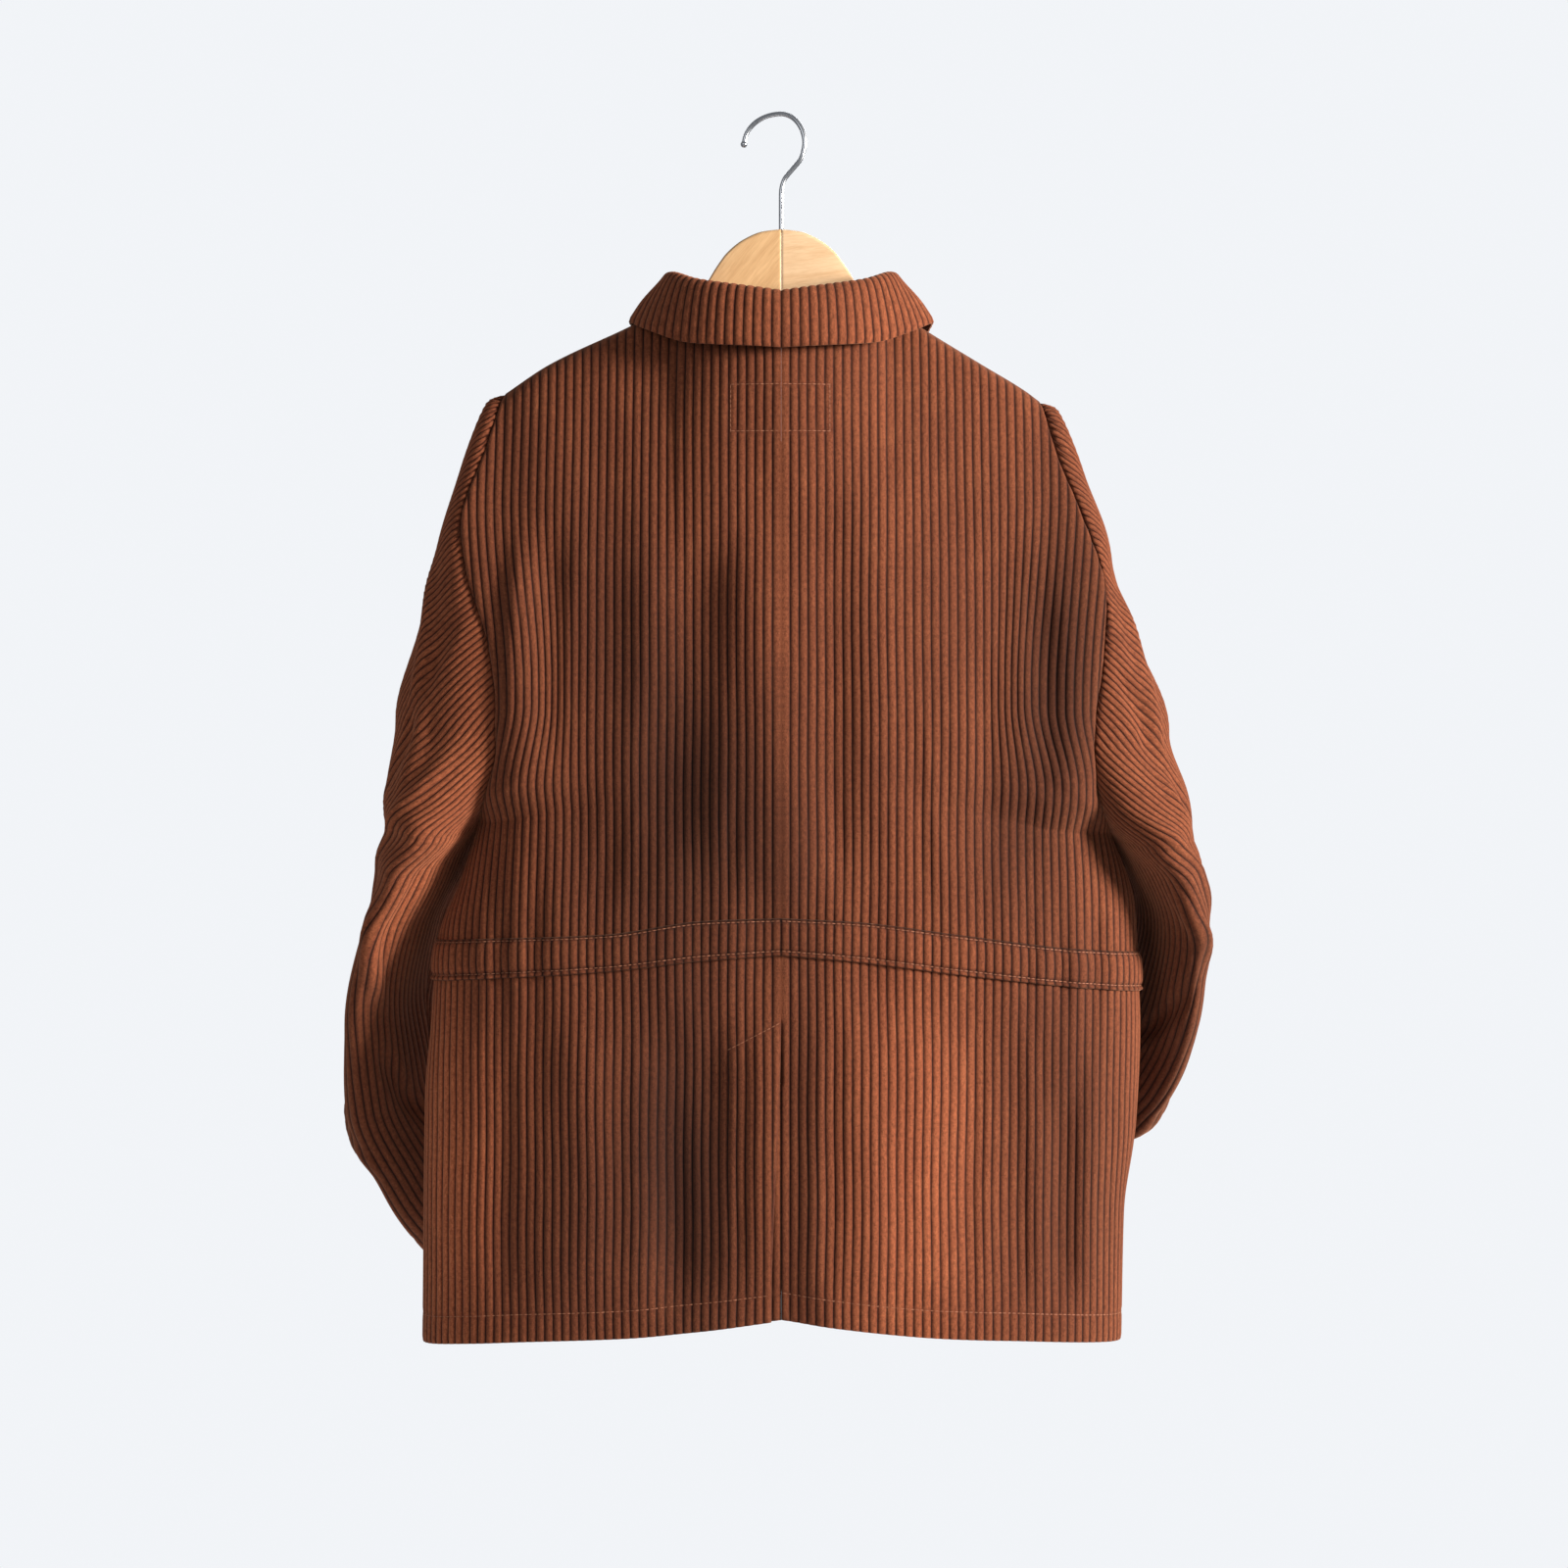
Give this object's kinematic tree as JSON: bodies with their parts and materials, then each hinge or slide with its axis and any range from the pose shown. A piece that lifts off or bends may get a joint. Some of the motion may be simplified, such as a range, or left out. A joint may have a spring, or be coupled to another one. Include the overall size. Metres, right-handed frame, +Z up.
{
  "type": "corduroy jacket on a wooden hanger",
  "caption": "Wide-wale corduroy jacket hanging on a wooden hanger by its wire hook, with a folded collar, set-in sleeves, a waist casing across the back and a hem vent.",
  "frame": {"origin": "inside top of the hanger's hook, where a rail or peg carries it", "axes": "+Z up, the back of the jacket faces -Y, the wearer's left side is on -X"},
  "size_m": [0.6394, 0.2549, 0.9075],
  "materials": {
    "corduroy": "rust-brown wide-wale cotton corduroy, soft pile",
    "button": "dark brown, softly polished",
    "wood": "pale clear-lacquered beech",
    "steel": "bright wire"
  },
  "bodies": {
    "root": {"back_left": "corduroy", "back_right": "corduroy", "front_left": "corduroy", "front_right": "corduroy", "sleeve_left": "corduroy", "sleeve_right": "corduroy", "vent_underlap": "corduroy", "waist_channel": "corduroy", "collar": "corduroy", "button_1": "button", "button_2": "button", "button_3": "button", "button_4": "button", "button_5": "button", "hanger_left": "wood", "hanger_right": "wood", "hook": "steel"}
  },
  "joints": []
}
